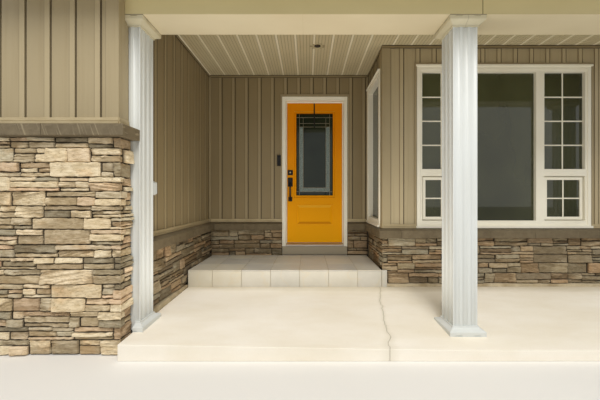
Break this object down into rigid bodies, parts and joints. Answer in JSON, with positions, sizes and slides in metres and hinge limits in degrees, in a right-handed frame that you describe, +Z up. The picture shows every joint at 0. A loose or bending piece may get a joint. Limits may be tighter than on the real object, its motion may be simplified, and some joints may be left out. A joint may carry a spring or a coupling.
{
  "type": "house entrance porch",
  "caption": "Recessed house entrance porch with a hinged glazed door, stone-faced walls, fluted square columns under a boxed beam, tiled landing and ribbed ceiling.",
  "frame": {"origin": "on the ground, on the door's centre line, in the plane of the front room's stone face", "axes": "+X to the right along the front, +Y into the house, +Z up"},
  "size_m": [6.35, 2.459, 3.7398],
  "materials": {
    "concrete": "broom-finished concrete",
    "landing_tile": "honed pale limestone tile",
    "wall_frame": "painted plasterboard inside, sheathing outside",
    "siding": "matt khaki vertical siding",
    "stone": "split ledgestone veneer",
    "ledge_stone": "cast grey-brown ledge stone",
    "white_trim": "satin white moulded trim",
    "sill_metal": "mill-finish threshold",
    "grey_paint": "grey-taupe painted board",
    "orange_paint": "semi-gloss orange paint on steel",
    "door_glass": "textured decorative glass",
    "black_metal": "matt black",
    "window_glass": "clear double glazing",
    "beam_timber": "sawn timber",
    "cream_metal": "cream coated sheet",
    "lamp": "white lamp trim with a dark recess",
    "roof_board": "sheathing board",
    "shingle": "granule-faced shingle"
  },
  "bodies": {
    "porch": {"porch_slab": "concrete", "landing_step": "landing_tile", "garage_front_wall": "wall_frame", "garage_side_wall": "wall_frame", "door_wall_left": "wall_frame", "door_wall_right": "wall_frame", "door_wall_over": "wall_frame", "door_wall_under": "wall_frame", "alcove_side_wall": "wall_frame", "front_room_wall": "wall_frame", "garage_front_siding": "siding", "garage_side_siding": "siding", "door_wall_siding": "siding", "alcove_side_siding": "siding", "front_room_siding": "siding", "siding_corner_posts": "siding", "garage_stone": "stone", "garage_side_stone": "stone", "door_wall_stone": "stone", "alcove_side_stone": "stone", "front_room_stone": "stone", "garage_ledge": "ledge_stone", "garage_side_ledge": "ledge_stone", "door_wall_ledge": "ledge_stone", "alcove_side_ledge": "ledge_stone", "front_room_ledge": "ledge_stone", "door_frame": "white_trim", "door_casing": "white_trim", "door_sill": "sill_metal", "riser_board": "grey_paint", "frame_hinge_leaves": "black_metal", "front_window_frame": "white_trim", "side_window_frame": "white_trim", "window_sashes": "white_trim", "window_glass": "window_glass", "doorbell": "black_metal", "porch_beam": "beam_timber", "beam_cladding": "cream_metal", "pilaster": "white_trim", "middle_column": "white_trim", "end_column": "white_trim", "column_caps": "white_trim", "column_bases": "white_trim", "alcove_ceiling": "cream_metal", "porch_ceiling": "cream_metal", "ceiling_lamp": "lamp", "roof_boarding": "roof_board", "roof_covering": "shingle", "eave_board": "cream_metal", "eave_soffit": "cream_metal", "roof_end_panel": "siding"},
    "door": {"door_slab": "orange_paint", "door_glass": "door_glass", "deadbolt": "black_metal", "door_handle": "black_metal", "door_hinges": "black_metal"}
  },
  "joints": [
    {"name": "door_hinge", "type": "hinge", "parent": "porch", "child": "door", "pos_m": [0.409, 1.011, 1.509], "axis": [0, 0, -1], "range_deg": [0, 95]}
  ]
}
